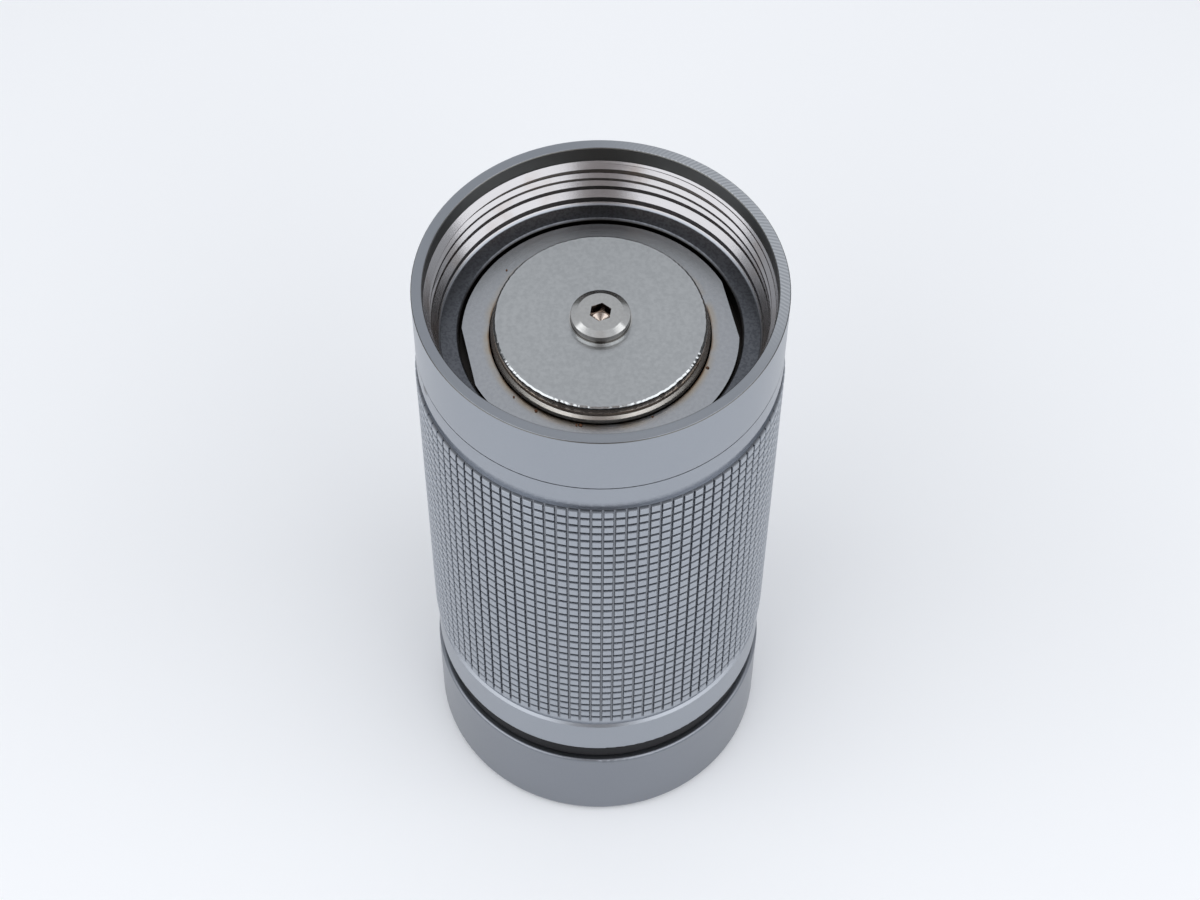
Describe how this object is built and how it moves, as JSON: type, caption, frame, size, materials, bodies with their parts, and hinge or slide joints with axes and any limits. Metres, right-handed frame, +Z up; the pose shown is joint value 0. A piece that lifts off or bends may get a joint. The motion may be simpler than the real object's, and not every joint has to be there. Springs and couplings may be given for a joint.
{
  "type": "hand crank coffee grinder",
  "caption": "Knurled aluminium hand coffee grinder standing upside down: threaded cup collar over a conical burr set, bearing-mounted hex shaft and an outer adjusting ring at the foot.",
  "frame": {"origin": "centre of the foot, on the surface it stands on", "axes": "+Z up along the shaft axis, from the bean mouth and crank end to the cup collar; -Y towards the picture's camera"},
  "size_m": [0.0566, 0.0566, 0.1171],
  "materials": {
    "anodised_grey": "bead blasted and grey anodised",
    "plain_aluminium": "turned",
    "burr_steel": "turned with fine rings",
    "stainless": "turned",
    "bearing_steel": "ground",
    "cage_brass": "stamped",
    "black_glide": "smooth"
  },
  "bodies": {
    "housing": {"body_tube": "anodised_grey", "cup_collar": "anodised_grey", "outer_burr": "burr_steel", "glide_ring": "black_glide", "mouth_ring": "plain_aluminium", "mouth_screws": "stainless", "lower_bridge": "plain_aluminium", "lower_bearing_outer_race": "bearing_steel", "lower_bearing_clip": "stainless"},
    "ring": {"adjusting_ring": "anodised_grey"},
    "lift": {"lift_bridge": "plain_aluminium", "upper_bearing_outer_race": "bearing_steel", "upper_bearing_clip": "stainless"},
    "spindle": {"drive_shaft": "stainless", "inner_burr": "burr_steel", "burr_cap": "burr_steel", "screw_washer": "stainless", "burr_screw": "stainless", "shaft_clip": "stainless", "upper_bearing_inner_race": "bearing_steel"},
    "lower_race": {"lower_bearing_inner_race": "bearing_steel", "spring_washer": "stainless", "preload_spring": "stainless"},
    "lower_balls": {"lower_bearing_balls": "bearing_steel", "lower_bearing_cage": "cage_brass"},
    "upper_balls": {"upper_bearing_balls": "bearing_steel", "upper_bearing_cage": "cage_brass"}
  },
  "joints": [
    {"name": "ring_turn", "type": "hinge", "parent": "housing", "child": "ring", "pos_m": [0, 0, 0.01], "axis": [0, 0, 1], "range_deg": [-181, 181]},
    {"name": "adjust_lift", "type": "slide", "parent": "housing", "child": "lift", "axis": [0, 0, 1], "range_m": [-0.00075, 0.00075], "deforming": ["preload_spring"]},
    {"name": "burr_spin", "type": "hinge", "parent": "lift", "child": "spindle", "pos_m": [0, 0, 0.05], "axis": [0, 0, 1], "continuous": true},
    {"name": "lower_race_spin", "type": "hinge", "parent": "housing", "child": "lower_race", "pos_m": [0, 0, 0.0711], "axis": [0, 0, 1], "continuous": true},
    {"name": "lower_balls_run", "type": "hinge", "parent": "housing", "child": "lower_balls", "pos_m": [0, 0, 0.0711], "axis": [0, 0, 1], "continuous": true},
    {"name": "upper_balls_run", "type": "hinge", "parent": "lift", "child": "upper_balls", "pos_m": [0, 0, 0.013], "axis": [0, 0, 1], "continuous": true}
  ],
  "couplings": [
    {"joint": "ring_turn", "follows": "adjust_lift", "rad_per_m": -4188.8},
    {"joint": "lower_race_spin", "follows": "burr_spin", "ratio": 1},
    {"joint": "lower_balls_run", "follows": "burr_spin", "ratio": 0.39583},
    {"joint": "upper_balls_run", "follows": "burr_spin", "ratio": 0.39583}
  ]
}
